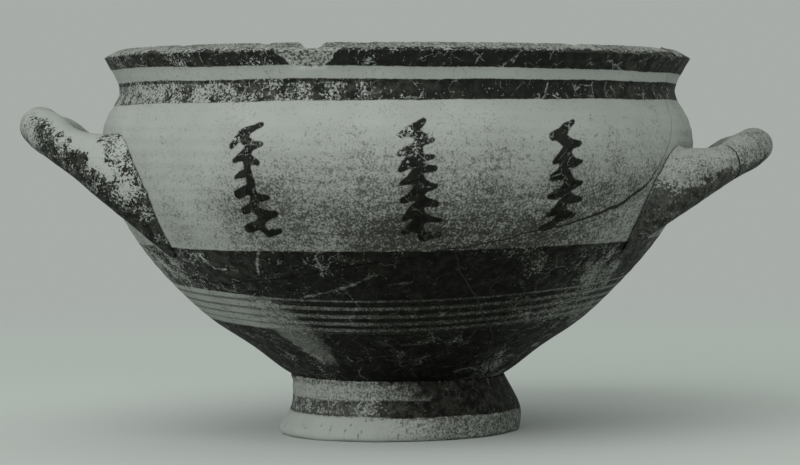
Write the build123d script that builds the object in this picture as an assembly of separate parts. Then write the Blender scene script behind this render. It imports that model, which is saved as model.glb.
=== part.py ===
from build123d import *
import os
from math import cos, radians, sin

# A skyphos: a deep two-handled drinking cup of thrown and painted pottery, broken long ago and
# glued together again. Sizes are millimetres and angles are degrees. +Z is up, the origin is the
# middle of the circle that the foot rests on, the handles lie along X and -Y is the front.
# A name that ends in share or shares holds plain numbers that multiply a named size.

# Bowl, measured along its own axis before it is leaned
rim_height = 98.1
lip_radius = 75.7
lip_drop = 1.6
lip_thickness = 5.0
lip_flare = 24.0
neck_recess = 3.8
neck_drop = 10.6
shoulder_recess = 1.8
shoulder_drop = 15.9
belly_radius = 76.4
belly_drop = 26.7
seat_radius = 27.2
seat_height = 14.8
underside_height = 12.4
wall = 4.5
floor = 6.0
bowl_lean = 1.0

# The haunch between seat and belly, as how far out and how far up it has come
haunch_shares = [(0.20, 0.124), (0.40, 0.238), (0.60, 0.390), (0.76, 0.545), (0.89, 0.715)]
floor_fade_share = 4
station_count = 16

# Foot: its flank was pulled to the right as it was turned, by foot_sway at most. From the floor up
# to the seat, the shares say how far up, how much of the way out to the toe, and how much sway
foot_radius = 31.1
foot_sway = 1.8
foot_shares = [
    (0.00, 1.00, 0.30),
    (0.16, 1.00, 0.33),
    (0.38, 0.74, 1.00),
    (0.55, 0.51, 1.00),
    (0.79, 0.26, 0.50),
    (1.00, 0.00, 0.00),
]
foot_edge_round = 1.1
foot_rest_width = 6.2
foot_hollow_taper = 3.6

# Slip under the foot and the handle roots, squeezed out to a bead, and the hairline above the foot's
foot_luting_thickness = 0.8
root_luting_thickness = 0.6
luting_bead = 0.7
foot_luting_gap = 0.05

# Handles: round coils bent to a half ring that rises outwards
left_coil_radius = 5.3
right_coil_radius = 4.8
loop_half_span = 34.5
loop_dip = 1.5
root_inset = 15.9
loop_stand = 15.9
root_anchor = 14.0
left_root_drop = 39.6
left_bow_rise = 20.3
right_root_drop = 40.7
right_bow_rise = 16.6

# A coil swells towards its root: turn from the tip to the root, then how far its section reaches
# above, below and to each side of its middle line, in coil radii
swell_shares = [
    (0.00, 1.00, 1.00, 1.04),
    (0.25, 1.00, 1.00, 1.00),
    (0.45, 0.95, 1.00, 1.00),
    (0.58, 1.10, 1.02, 1.00),
    (0.70, 1.68, 1.12, 1.05),
    (0.82, 2.18, 1.26, 1.20),
    (1.00, 3.00, 1.48, 1.35),
]
anchor_swell_shares = (3.00, 3.00, 1.40)
quarter_step = 18

# The breaks, point by point: bearing from the front towards the right, how far up the outside of
# the wall, and how wide the glue line is. Over the rim and under the foot the lines are closed.
glue_width = 0.9
glue_recess = 0.35
over_rim = 14.0
break_hub_share = 0.66
break_reach_share = 1.7
far_share = 6.0
upper_break_shares = [
    (67.0, 1.000, 0.35),
    (69.0, 0.938, 0.35),
    (67.0, 0.903, 0.35),
    (63.5, 0.850, 0.35),
    (59.0, 0.791, 0.40),
    (53.0, 0.731, 0.90),
    (46.5, 0.700, 1.00),
    (39.0, 0.676, 0.60),
    (27.0, 0.649, 0.40),
    (10.0, 0.614, 0.35),
    (-9.5, 0.578, 0.35),
    (-31.5, 0.539, 0.35),
    (-45.0, 0.523, 0.35),
    (-57.0, 0.537, 0.35),
    (-68.0, 0.595, 0.35),
    (-95.0, 0.630, 0.35),
    (-130.0, 0.590, 0.35),
    (-165.0, 0.560, 0.35),
    (-200.0, 0.600, 0.35),
    (-225.0, 0.680, 0.35),
    (-242.0, 0.800, 0.35),
    (-248.0, 1.000, 0.35),
]
lower_break_shares = [
    (11.0, 0.622, 0.40),
    (14.0, 0.560, 0.40),
    (19.0, 0.497, 0.40),
    (24.5, 0.435, 0.40),
    (31.5, 0.377, 0.40),
    (40.0, 0.310, 0.40),
    (60.0, 0.180, 0.40),
    (110.0, 0.120, 0.40),
    (145.0, 0.220, 0.40),
    (160.0, 0.400, 0.40),
    (172.0, 0.610, 0.40),
]

# Breaks through the right loop, as turn from the tip to the root, and their glue line
bow_break_turn_shares = [-0.515, 0.55]
bow_glue_width = 0.45
bow_break_tilt = 12.0
slab_share = 4

# A flake is gone from the front of the lip
flake_depth = 0.8
flake_shares = [(-23.0, 1.000), (-20.5, 0.962), (-12.5, 0.962), (-10.0, 1.000)]

up = Vector(0, 0, 1)
right = Vector(1, 0, 0)
neck_height = rim_height - neck_drop
belly_height = rim_height - belly_drop
lip_height = rim_height - lip_drop
break_hub = up * rim_height * break_hub_share
lean = Pos(0, 0, seat_height) * Rot(0, bowl_lean, 0) * Pos(0, 0, -seat_height)

outside = Spline(
    (0, 0, underside_height),
    (seat_radius, 0, seat_height),
    *[
        (
            seat_radius + (belly_radius - seat_radius) * out_share,
            0,
            seat_height + (belly_height - seat_height) * up_share,
        )
        for out_share, up_share in haunch_shares
    ],
    (belly_radius, 0, belly_height),
    (belly_radius - shoulder_recess, 0, rim_height - shoulder_drop),
    (lip_radius - neck_recess, 0, neck_height),
    (lip_radius, 0, lip_height),
    tangents=((1, 0, 0), (sin(radians(lip_flare)), 0, cos(radians(lip_flare)))),
)


def section_point(share, depth):
    """A point of the wall's section, so far up the outside and so deep inside it."""
    slope = outside.tangent_at(share)
    return outside.position_at(share) + Vector(-slope.Z, 0, slope.X) * depth


def wall_at(share):
    """Thickness of the wall, which the potter left heavier in the floor."""
    return wall + (floor - wall) * (1 - share) ** floor_fade_share


def skin(depth_at):
    """The outside contour moved inwards by what depth_at says for each share of the way up."""
    steps = [i / station_count for i in range(station_count + 1)]
    return Spline(*[section_point(share, depth_at(share)) for share in steps])


def shell(recess):
    """The thrown bowl, with every face of it moved inwards by recess."""
    outer = skin(lambda share: recess)
    inner = skin(lambda share: wall_at(share) + (lip_thickness - wall) * share - recess)
    crown = (outer @ 1 + inner @ 1) / 2
    lip = ThreePointArc(outer @ 1, Vector(crown.X, 0, rim_height - recess), inner @ 1)
    section = make_face([outer, lip, inner, Line(inner @ 0, outer @ 0)])
    return revolve(section, Axis.Z)


def filled(grow):
    """Everything inside the bowl's outside face, the cavity too, grown outwards."""
    outer = skin(lambda share: -grow)
    top = Line(outer @ 1, Vector(0, 0, (outer @ 1).Z))
    return revolve(make_face([outer, top, Line(top @ 1, outer @ 0)]), Axis.Z)


def on_bearing(place, bearing):
    """A point of the section turned to a bearing that is measured from the front."""
    return Vector(place.X * sin(radians(bearing)), -place.X * cos(radians(bearing)), place.Z)


def line_of_break(shares):
    """A break's points, carried on over the rim at both ends, with the width of the glue."""
    points = [(on_bearing(section_point(at, 0), bearing), width) for bearing, at, width in shares]
    ends = []
    for bearing, width in ((shares[0][0], shares[0][2]), (shares[-1][0], shares[-1][2])):
        ends.append((on_bearing(section_point(1, 0) + up * over_rim, bearing), width))
    return [ends[0]] + points + [ends[1]]


def fan(points, toward, side):
    """The space seen from the hub through a closed line, on the side of a far point.

    The line is moved by half a glue line: towards the far point for side 1, away for side -1.
    """
    far = break_hub + toward * belly_radius * far_share
    rays = [(place - break_hub) * break_reach_share for place, width in points]
    spread = sum((rays[i - 1].cross(ray) for i, ray in enumerate(rays)), Vector())
    turn = side if spread.dot(toward) > 0 else -side
    moved = []
    for i, (place, width) in enumerate(points):
        along = rays[(i + 1) % len(rays)] - rays[i - 1]
        across = rays[i].cross(along).normalized()
        moved.append(break_hub + rays[i] + across * turn * width * glue_width * break_reach_share / 2)
    faces = []
    for i, corner in enumerate(moved):
        for tip in (break_hub, far):
            faces.append(Face(Wire.make_polygon([tip, moved[i - 1], corner])))
    space = Solid(Shell(faces))
    return space if space.volume > 0 else Solid(Shell([-face for face in faces]))


def loop_point(side, turn, root_drop, bow_rise):
    """Middle of a handle's coil, its run and the upright of its loop, from tip 0 to root 1."""
    root = Vector(side * (belly_radius - root_inset), 0, rim_height - root_drop)
    reach = Vector(side * (root_inset + loop_stand), 0, bow_rise)
    span = Vector(0, loop_half_span, -loop_dip)
    angle = radians(90 * turn)
    run = span * cos(angle) - reach * sin(angle)
    upright = reach.cross(span) * side
    return root + reach * cos(angle) + span * sin(angle), run.normalized(), upright.normalized()


def oval(tall, wide):
    """A section that reaches as far as tall and wide from its middle, drawn in quarter turns."""
    quarters = []
    for start in (0, 90, 180, 270):
        turns = [radians(start + quarter_step * i) for i in range(90 // quarter_step + 1)]
        quarters.append(
            Spline(
                [(tall * cos(turn), wide * sin(turn)) for turn in turns],
                tangents=[(-tall * sin(turn), wide * cos(turn)) for turn in (turns[0], turns[-1])],
            )
        )
    return make_face(quarters)


def loop(side, radius, root_drop, bow_rise, grow=0):
    """A whole handle, as it was rolled and bent, with roots that still run on into the bowl."""
    back_to_front = [(-row[0], *row[1:]) for row in reversed(swell_shares[1:])] + swell_shares
    sections = []
    for turn, above, below, aside in back_to_front:
        place, run, upright = loop_point(side, turn, root_drop, bow_rise)
        plane = Plane(place + upright * radius * (above - below) / 2, x_dir=upright, z_dir=run)
        sections.append(plane * oval(radius * (above + below) / 2 + grow, radius * aside + grow))
    above, below, aside = anchor_swell_shares
    for turn in (-1, 1):
        place, run, upright = loop_point(side, turn, root_drop, bow_rise)
        middle = place - right * side * root_anchor + up * radius * (above - below) / 2
        plane = Plane(middle, x_dir=up, z_dir=right * -side * turn)
        end = plane * oval(radius * (above + below) / 2 + grow, radius * aside + grow)
        sections.insert(len(sections) if turn > 0 else 0, end)
    return loft(sections)


def keep(name, place, *shapes):
    """Write one piece of the cup, set at its place."""
    solids = [place * solid for shape in shapes for solid in shape.solids()]
    piece = Compound(children=solids) if len(solids) > 1 else solids[0]
    piece.label = name
    export_step(piece, f"parts/{name}.step")


os.makedirs("parts", exist_ok=True)
bowl = shell(0)
glue_body = shell(glue_recess)

# The long break sets off the upper wall, and a second break parts what is below it
left_and_up = Vector(-1, 0, 1).normalized()
upper_line = line_of_break(upper_break_shares)
lower_line = line_of_break(lower_break_shares)
upper_near = fan(upper_line, left_and_up, 1)
upper_far = fan(upper_line, left_and_up, -1)
lower_near = fan(lower_line, right, 1)
lower_far = fan(lower_line, right, -1)
flake_line = [(on_bearing(section_point(at, 0), bearing), 0) for bearing, at in flake_shares]
flake_top = [(place + up * over_rim, 0) for place, width in (flake_line[-1], flake_line[0])]
flake = fan(flake_line + flake_top, Vector(0, -1, 0), 1)
flake -= shell(flake_depth) + Cylinder(lip_radius - lip_thickness, rim_height * far_share)

below = bowl - upper_far
keep("upper_wall_sherd", lean, (bowl & upper_near) - flake)
keep("right_wall_sherd", lean, below & lower_near)
keep("lower_bowl_sherd", lean, below - lower_far)
keep("upper_break_adhesive", lean, (glue_body & upper_far) - upper_near)
keep("lower_break_adhesive", lean, ((glue_body - upper_far) & lower_far) - lower_near)

# Foot: a ring turned to a cone, scribed to the underside of the bowl and luted on with slip
foot_rings = []
for up_share, out_share, sway_share in foot_shares:
    ring_radius = seat_radius + (foot_radius - seat_radius) * out_share
    middle = Pos(foot_sway * sway_share, 0, seat_height * up_share)
    foot_rings.append(middle * oval(ring_radius, ring_radius))
hollow_radius = foot_radius - foot_rest_width
hollow_top_radius = hollow_radius - foot_hollow_taper
hollow = Cone(hollow_radius, hollow_top_radius, seat_height + floor)
cone = loft(foot_rings) + extrude(foot_rings[-1], floor)
cone -= Pos(foot_sway * foot_shares[0][2], 0, (seat_height + floor) / 2) * hollow
cone = fillet(cone.edges().group_by(Axis.Z)[0], foot_edge_round)
keep("foot", Pos(), cone - lean * filled(foot_luting_thickness))
slip = Cylinder(seat_radius + luting_bead, rim_height)
slip -= Cylinder(hollow_top_radius - luting_bead, rim_height)
slip &= lean * (filled(foot_luting_thickness) - filled(foot_luting_gap))
keep("foot_luting", Pos(), slip)

# Handles: each loop is scribed to the wall and seated on a pad of slip
scribed = filled(root_luting_thickness)
slip_skin = scribed - filled(0)
left_sizes = (-1, left_coil_radius, left_root_drop, left_bow_rise)
right_sizes = (1, right_coil_radius, right_root_drop, right_bow_rise)
keep("left_handle", lean, loop(*left_sizes) - scribed)
for hand, sizes in (("left", left_sizes), ("right", right_sizes)):
    pads = (loop(*sizes, grow=luting_bead) & slip_skin).solids().sort_by(Axis.Y)
    keep(f"{hand}_handle_front_luting", lean, pads[0])
    keep(f"{hand}_handle_back_luting", lean, pads[-1])

# The right loop broke through both arms
slab_size = (right_coil_radius * slab_share, right_coil_radius * slab_share, bow_glue_width)
slabs = []
for turn in bow_break_turn_shares:
    place, run, upright = loop_point(1, turn, right_root_drop, right_bow_rise)
    plane = Plane(place, x_dir=upright, z_dir=run)
    slabs.append(plane * Rot(0, bow_break_tilt * turn, 0) * Box(*slab_size))
whole = loop(*right_sizes) - scribed
stump, bow, far_stump = (whole - slabs[0] - slabs[1]).solids().sort_by(Axis.Y)
keep("right_handle_front_root", lean, stump)
keep("right_handle_bow", lean, bow)
keep("right_handle_back_root", lean, far_stump)
glued = loop(*right_sizes, grow=-glue_recess)
keep("right_handle_adhesive", lean, *[glued & slab for slab in slabs])
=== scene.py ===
"""A skyphos: a deep two-handled drinking cup of thrown, painted and mended pottery.

Sizes are metres. The bowl is made upright on the Z axis and then leaned as the real one leans. Its
paint, wear, dirt and painted shade are procedural: bands follow Object coordinates, and the wavy
lines, the root marks and the flake in the lip come as distances kept in attributes of the meshes.
"""
import logging
import math
from dataclasses import dataclass
from enum import Enum
from functools import reduce
from typing import Callable, Optional, Union

import bmesh
import bpy
import numpy as np
from mathutils import Matrix, Vector, noise


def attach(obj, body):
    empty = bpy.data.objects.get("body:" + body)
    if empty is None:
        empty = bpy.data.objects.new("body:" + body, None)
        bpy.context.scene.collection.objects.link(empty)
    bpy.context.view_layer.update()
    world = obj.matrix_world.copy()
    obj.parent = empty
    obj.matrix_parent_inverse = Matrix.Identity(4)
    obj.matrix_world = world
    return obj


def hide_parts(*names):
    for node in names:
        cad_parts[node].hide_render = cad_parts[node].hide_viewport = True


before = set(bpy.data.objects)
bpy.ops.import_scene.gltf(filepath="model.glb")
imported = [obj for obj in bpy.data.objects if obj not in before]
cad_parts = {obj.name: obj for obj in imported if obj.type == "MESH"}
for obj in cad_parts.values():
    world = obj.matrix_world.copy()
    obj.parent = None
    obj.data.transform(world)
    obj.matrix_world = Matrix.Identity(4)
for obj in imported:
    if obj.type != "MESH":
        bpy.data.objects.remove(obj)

MM = 0.001
WELD = 1e-6
ROOT = "root"
log = logging.getLogger("skyphos")


class Slot(Enum):
    """The record's material slots."""

    WALL = "wall_clay"
    FOOT = "foot_clay"
    HANDLE = "handle_clay"
    GLUE = "adhesive"


class Zone(Enum):
    """Which painted pattern a clay surface carries."""

    BOWL = "bowl"
    FOOT = "foot"
    LEFT_HANDLE = "left handle"
    RIGHT_HANDLE = "right handle"


# Nodes as formulas


@dataclass(frozen=True)
class Wire:
    """A value that runs through a node tree, with the signs of arithmetic."""

    graph: "Graph"
    socket: bpy.types.NodeSocket

    def __add__(self, other: "Value") -> "Wire":
        """The sum."""
        return self.graph.math("ADD", self, other)

    def __radd__(self, other: float) -> "Wire":
        """The sum."""
        return self.graph.math("ADD", other, self)

    def __sub__(self, other: "Value") -> "Wire":
        """The difference."""
        return self.graph.math("SUBTRACT", self, other)

    def __rsub__(self, other: float) -> "Wire":
        """The difference."""
        return self.graph.math("SUBTRACT", other, self)

    def __mul__(self, other: "Value") -> "Wire":
        """The product."""
        return self.graph.math("MULTIPLY", self, other)

    def __rmul__(self, other: float) -> "Wire":
        """The product."""
        return self.graph.math("MULTIPLY", other, self)

    def above(self, low: "Value", high: "Value") -> "Wire":
        """A soft step from 0 at low to 1 at high, which runs down where low is the larger."""
        inputs = {"Value": self, "From Min": low, "From Max": high}
        return self.graph.wire(
            "ShaderNodeMapRange", inputs, "Result", interpolation_type="SMOOTHSTEP"
        )

    def band(self, low: "Value", high: "Value", soft: float) -> "Wire":
        """1 between low and high, with soft edges."""
        return self.above(low - soft, low + soft) * self.above(high + soft, high - soft)

    def clamped(self) -> "Wire":
        """The value held between 0 and 1."""
        return self.graph.math("ADD", self, 0.0, clamp=True)


Value = Union[Wire, float]


class Graph:
    """Adds nodes to one tree and joins them."""

    def __init__(self, tree: bpy.types.NodeTree) -> None:
        """Works on the given tree."""
        self.tree = tree

    def node(self, kind: str, inputs: Optional[dict] = None, **settings: object) -> bpy.types.Node:
        """Adds a node.

        Args:
            kind: Blender's name of the node's type.
            inputs: wires or plain values for its inputs, by name or number.
            settings: properties of the node.

        Returns:
            The new node.
        """
        node = self.tree.nodes.new(kind)
        for name, value in settings.items():
            setattr(node, name, value)
        for key, value in (inputs or {}).items():
            self.feed(node.inputs[key], value)
        return node

    def wire(
        self, kind: str, inputs: dict, output: Union[int, str] = 0, **settings: object
    ) -> Wire:
        """Adds a node, as node() does, and gives the wire of one of its outputs."""
        return Wire(self, self.node(kind, inputs, **settings).outputs[output])

    def feed(self, socket: bpy.types.NodeSocket, value: object) -> None:
        """Joins a wire to an input, or sets the input's own value.

        Args:
            socket: the input.
            value: a wire, or a plain value.
        """
        if isinstance(value, Wire):
            self.tree.links.new(value.socket, socket)
        else:
            socket.default_value = value

    def math(self, operation: str, *values: Value, clamp: bool = False) -> Wire:
        """A Math node on the values."""
        inputs = dict(enumerate(values))
        return self.wire("ShaderNodeMath", inputs, operation=operation, use_clamp=clamp)

    def largest(self, *values: Value) -> Wire:
        """The largest of the values."""
        return reduce(lambda most, value: self.math("MAXIMUM", most, value), values)

    def vector(self, operation: str, inputs: dict, output: str = "Vector") -> Wire:
        """A Vector Math node."""
        return self.wire("ShaderNodeVectorMath", inputs, output, operation=operation)

    def length(self, vector: Wire) -> Wire:
        """The length of a vector."""
        return self.vector("LENGTH", {0: vector}, "Value")

    def joined(self, x: Value, y: Value, z: Value) -> Wire:
        """A vector of three values."""
        return self.wire("ShaderNodeCombineXYZ", {0: x, 1: y, 2: z})

    def parts(self, vector: Wire) -> tuple[Wire, Wire, Wire]:
        """The three values of a vector."""
        node = self.node("ShaderNodeSeparateXYZ", {0: vector})
        return tuple(Wire(self, socket) for socket in node.outputs)

    def noise(self, place: Wire, grain: float, detail: float = 2.0, rough: float = 0.5) -> Wire:
        """Noise between 0 and 1.

        Args:
            place: where, in millimetres.
            grain: the size of its largest lumps, in millimetres.
            detail: how many finer layers it has.
            rough: how strong the finer layers are.

        Returns:
            The noise's value.
        """
        inputs = {"Vector": place, "Scale": 1 / grain, "Detail": detail, "Roughness": rough}
        return self.wire("ShaderNodeTexNoise", inputs)

    def mix(self, share: Value, first: object, second: object) -> Wire:
        """A colour between two colours."""
        return self.wire("ShaderNodeMix", {0: share, 6: first, 7: second}, 2, data_type="RGBA")

    def attribute(self, name: str) -> Wire:
        """A number kept on the mesh."""
        return self.wire("ShaderNodeAttribute", {}, "Fac", attribute_name=name)

    def place(self) -> Wire:
        """Object coordinates in millimetres."""
        metres = self.wire("ShaderNodeTexCoord", {}, "Object")
        return self.vector("SCALE", {0: metres, "Scale": 1 / MM})

    def bump(self, height: Wire, strength: float, distance: float) -> Wire:
        """The normal of a surface with a relief."""
        inputs = {"Height": height, "Strength": strength, "Distance": distance}
        return self.wire("ShaderNodeBump", inputs, "Normal")


class Finish(Graph):
    """The graph of a new material."""

    def __init__(self, name: str) -> None:
        """Starts the material.

        Args:
            name: the material's name.
        """
        self.material = bpy.data.materials.new(name)
        self.material.use_nodes = True
        super().__init__(self.material.node_tree)

    def dressed(self, inputs: dict[str, object]) -> bpy.types.Material:
        """Ends the material.

        Args:
            inputs: wires or plain values for the Principled shader's inputs, by name.

        Returns:
            The material.
        """
        shader = self.tree.nodes["Principled BSDF"]
        for name, value in inputs.items():
            self.feed(shader.inputs[name], value)
        return self.material


def shader_group(
    name: str,
    inputs: dict[str, str],
    outputs: dict[str, str],
    build: Callable[..., dict[str, Wire]],
) -> bpy.types.NodeTree:
    """Makes a node group that several materials share.

    Args:
        name: the group's name.
        inputs: socket types of its inputs by name.
        outputs: socket types of its outputs by name.
        build: makes the nodes from a graph and the inputs' wires, and returns the outputs' wires.

    Returns:
        The group.
    """
    tree = bpy.data.node_groups.new(name, "ShaderNodeTree")
    for label, kind in inputs.items():
        tree.interface.new_socket(label, in_out="INPUT", socket_type=kind)
    for label, kind in outputs.items():
        tree.interface.new_socket(label, in_out="OUTPUT", socket_type=kind)
    graph = Graph(tree)
    start = graph.node("NodeGroupInput")
    end = graph.node("NodeGroupOutput")
    made = build(graph, *[Wire(graph, start.outputs[label]) for label in inputs])
    for label, wire in made.items():
        graph.feed(end.inputs[label], wire)
    return tree


# The finishes

FLOAT, VECTOR, COLOR = "NodeSocketFloat", "NodeSocketVector", "NodeSocketColor"
DUSKY_CLAY = (0.390, 0.412, 0.386, 1.0)
PALE_CLAY = (0.428, 0.449, 0.424, 1.0)
# The stain and grime colours darken the clay for dirt and also for painted shade.
STAIN_AND_SHADE_CLAY = (0.165, 0.170, 0.145, 1.0)
GRIME_AND_SHADE = (0.038, 0.039, 0.031, 1.0)


def build_wear(graph: Graph, place: Wire, cover: Wire, wear: Wire, roots: Wire) -> dict[str, Wire]:
    """Flakes, pits, scratches and root marks that let the clay show through a coat of paint.

    Args:
        graph: the group's tree.
        place: where, in millimetres.
        cover: how fully the paint was laid on.
        wear: how much of it has gone.
        roots: how strongly roots have marked it.

    Returns:
        How much paint is left.
    """
    sway, crack_cell, hair_width = 5.0, 6.0, (0.0105, 0.0040)
    warp = graph.noise(place, 5.0, 3.0)
    shift = graph.vector("SCALE", {0: graph.joined(warp, warp, warp), "Scale": sway})
    swayed = graph.vector("ADD", {0: place, 1: shift})
    fine = graph.noise(place, 0.62, 3.0, 0.65)
    lumps = graph.noise(swayed, 4.5, 3.0, 0.6)
    limit = wear * 0.42 + 0.17
    flaked = (fine * 0.62 + lumps * 0.38).above(limit, limit + 0.08)
    cells = {"Vector": swayed, "Scale": 1 / crack_cell}
    crack = graph.wire("ShaderNodeTexVoronoi", cells, "Distance", feature="DISTANCE_TO_EDGE")
    broken = graph.noise(place, 6.0, 2.0).above(0.52, 0.60) * fine.above(0.40, 0.52)
    hair = graph.math("ABSOLUTE", graph.noise(swayed, 3.4, 1.0) - 0.5)
    frayed = graph.noise(place, 4.0, 1.0).above(0.50, 0.58) * fine.above(0.38, 0.50)
    hairs = hair.above(*hair_width) * frayed
    marks = graph.largest(crack.above(0.034, 0.014) * broken, hairs * 0.8) * roots
    return {"Paint": (cover * flaked * (1.0 - marks)).clamped()}


def build_clay(graph: Graph, place: Wire, soil_and_shade: Wire) -> dict[str, Wire]:
    """Fired clay with dirt in its pores and a grain that the hand and the wheel left, darkened also
    by the painted shade that comes in with the dirt.

    Args:
        graph: the group's tree.
        place: where, in millimetres.
        soil_and_shade: how dirty the clay is, and how much painted shade darkens it.

    Returns:
        Its colour, and the height of its relief.
    """
    wheel_stretch = 0.2
    x, y, z = graph.parts(place)
    wiped = graph.joined(x * wheel_stretch, y * wheel_stretch, z)
    streaks = graph.noise(wiped, 1.4, 3.0, 0.6)
    fine = graph.noise(place, 0.52, 3.0, 0.62)
    grain = graph.noise(place, 1.5, 2.0, 0.6)
    broad = graph.noise(place, 12.0, 3.0)
    mixed = fine * 0.55 + grain * 0.2 + streaks * 0.12 + broad * 0.13
    # The stain and the grime speckles grow with the dirt input, which also carries painted shade.
    limit = 0.665 - soil_and_shade * 0.19
    grime_and_shade = mixed.above(limit - 0.09, limit + 0.10)
    tone = graph.mix(broad.above(0.3, 0.7), DUSKY_CLAY, PALE_CLAY)
    stained_and_shaded = graph.mix((soil_and_shade * 0.38).clamped(), tone, STAIN_AND_SHADE_CLAY)
    soiled_and_shaded = graph.mix(grime_and_shade * (soil_and_shade * 0.40 + 0.50).clamped(), stained_and_shaded, GRIME_AND_SHADE)
    return {"Color": soiled_and_shaded, "Height": fine * 0.7 + streaks * 0.3 - grime_and_shade * 0.3}


def shared_groups() -> dict[str, bpy.types.NodeTree]:
    """Makes the node groups that the clay finishes share.

    Returns:
        The groups by name.
    """
    coat = {"Place": VECTOR, "Cover": FLOAT, "Wear": FLOAT, "Roots": FLOAT}
    body = {"Place": VECTOR, "Soil and shade": FLOAT}
    return {
        "wear": shader_group("worn paint", coat, {"Paint": FLOAT}, build_wear),
        "clay": shader_group("soiled clay", body, {"Color": COLOR, "Height": FLOAT}, build_clay),
    }


@dataclass(frozen=True)
class Paintwork:
    """What the paint and the dirt do at each place.

    Attributes:
        cover: how fully the paint was laid on.
        wear: how much of it has gone.
        soil_and_shade: how dirty the clay is, and how much painted shade darkens it.
        roots: how strongly roots have marked it.
        veil: how grey the paint has become.
        scar: where a flake has gone and broken clay shows.
    """

    cover: Value
    wear: Value
    soil_and_shade: Value
    roots: Value
    veil: Value
    scar: Value = 0.0


@dataclass
class BowlPaint:
    """Bands, pale lines and wavy lines round the bowl, and how they have worn.

    Heights and depths are millimetres, and bearings are radians. A pair says where a soft step is 0
    and where it is 1. A pale line has its height, its half width and how much wider it is at left.
    """

    graph: Graph
    place: Wire
    clay: "PaintedClay"
    edge: float = 0.14
    lip_foot: float = 92.75
    lip_top: tuple = (98.3, 97.5)
    shoulder_band: tuple = (84.9, 89.9)
    shoulder_line: tuple = (89.05, 89.95)
    belly_band: tuple = (37.3, 49.2)
    foot_coat: tuple = (28.5, 28.1)
    lined_coat: tuple = (28.3, 37.5)
    pale_lines: tuple = (
        (36.7, 0.22, 0.4),
        (34.75, 0.42, 0.3),
        (32.7, 0.42, 0.3),
        (30.8, 0.42, 0.3),
        (29.1, 0.42, 0.3),
    )
    left_end: tuple = (-0.62, -0.80)
    belly_arc: float = 76.0
    patch_arc: float = -44.0
    patch_height: float = 28.5
    patch_size: tuple = (12.0, 7.0)
    outer_skin: tuple = (2.2, 1.2)
    inner_skin: tuple = (3.2, 3.9)

    def __post_init__(self) -> None:
        """Finds where each spot of the leaning wall lies, and what it is part of."""
        graph, place = self.graph, self.place
        turn = {"Vector": place, "Center": (0.0, 0.0, BOWL.seat_height / MM), "Angle": -BOWL.lean}
        upright = graph.wire("ShaderNodeVectorRotate", turn, rotation_type="Y_AXIS")
        x, y, self.z = graph.parts(upright)
        self.around = graph.math("ARCTAN2", x, y * -1.0)
        self.side = graph.math("SINE", self.around)
        self.bearing = graph.math("ARCSINE", self.side)
        self.ragged = graph.noise(place, 2.2, 3.0, 0.6) - 0.5
        self.cloud = graph.noise(place, 14.0, 3.0, 0.55)
        self.outside = graph.attribute("depth").above(*self.outer_skin)
        self.inner = graph.attribute("depth").above(*self.inner_skin) * self.z.above(96.5, 96.0)
        wander = (graph.noise(place, 30.0, 1.0) - 0.5) * 0.8
        self.level = self.z + wander + self.ragged * 0.55
        self.lip = self.lip_paint()
        low, high = self.shoulder_band
        self.shoulder = self.level.band(low + self.side * 0.7, high, self.edge)
        self.wavy = (graph.attribute("stroke_distance") + self.ragged * 0.9).above(0.46, 0.06)
        self.patch = self.worn_patch()

    def lip_paint(self) -> Wire:
        """Paints the band on the lip.

        Returns:
            Where it is.
        """
        foot = self.lip_foot - self.side * 0.6
        top = (self.z + self.ragged * 2.4).above(*self.lip_top)
        return self.level.above(foot - self.edge, foot + self.edge) * top

    def lower_paint(self) -> Wire:
        """Paints the belly's band, the lined coat under it and the coat down to the foot.

        Returns:
            Where they are.
        """
        spread = self.side * self.side
        tilt = self.side * 1.2
        low, high = self.belly_band
        top = high + self.side + spread * 0.9
        belly = self.level.band(low + tilt + spread * 3.0, top, self.edge)
        rise = self.z - tilt - spread * 3.0 + self.ragged * 0.35
        left = self.bearing.above(*self.left_end)
        lines: Value = 1.0
        for height, half_width, wider in self.pale_lines:
            gap = self.graph.math("ABSOLUTE", rise - height)
            reach = left * wider + half_width
            lines = lines * (1.0 - gap.above(reach + 0.18, reach - 0.18) * (left * 0.25 + 0.62))
        lines = lines * rise.band(*self.lined_coat, 0.1) * (1.0 - left * 0.35)
        return self.graph.largest(belly, rise.above(*self.foot_coat), lines)

    def worn_patch(self) -> Wire:
        """Finds the worn patch low on the left.

        Returns:
            Where it is.
        """
        arc = self.around * self.belly_arc - self.patch_arc + (self.z - 28.0) * 0.55
        spot = self.graph.joined(arc, (self.z - self.patch_height) * 1.05, 0.0)
        patch = (self.graph.length(spot) + self.ragged * 9.0).above(*self.patch_size)
        return patch * self.outside * self.z.above(37.6, 36.8)

    def wear(self) -> Wire:
        """Wears the paint by its place.

        Returns:
            How much more of it has gone than on the whole.
        """
        z, bearing = self.z, self.bearing
        near_mark = (self.graph.attribute("mark_distance") + self.ragged * 6.0).above(3.2, 0.4)
        line = self.level.band(*self.shoulder_line, self.edge)
        right_end = self.cloud.above(0.44, 0.62) * 0.16 + bearing.above(0.8, 1.1) * 0.10
        right = bearing.above(0.28, 0.50) * z.above(54.0, 48.0) * right_end
        left = bearing.above(-0.75, -1.05) * z.band(37.5, 50.0, 1.5) * 0.26
        shoulder = self.shoulder * (bearing.above(0.08, -0.18) * 0.25 + 0.04 - line * 0.16)
        lip_side = bearing.above(-0.15, -0.45) * 0.14
        lip = self.lip * (z.above(95.6, 98.0) * 0.45 + lip_side - 0.06)
        wavy_side = bearing.above(0.35, -0.05) * 0.22
        wavy = self.wavy * (z.above(60.0, 79.0) * (wavy_side + 0.10) - 0.10)
        wear = self.patch * 0.22 + right + left + shoulder + lip + wavy + near_mark * 0.14
        return wear + (self.cloud - 0.5) * 0.9 - self.inner * 0.1

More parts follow.
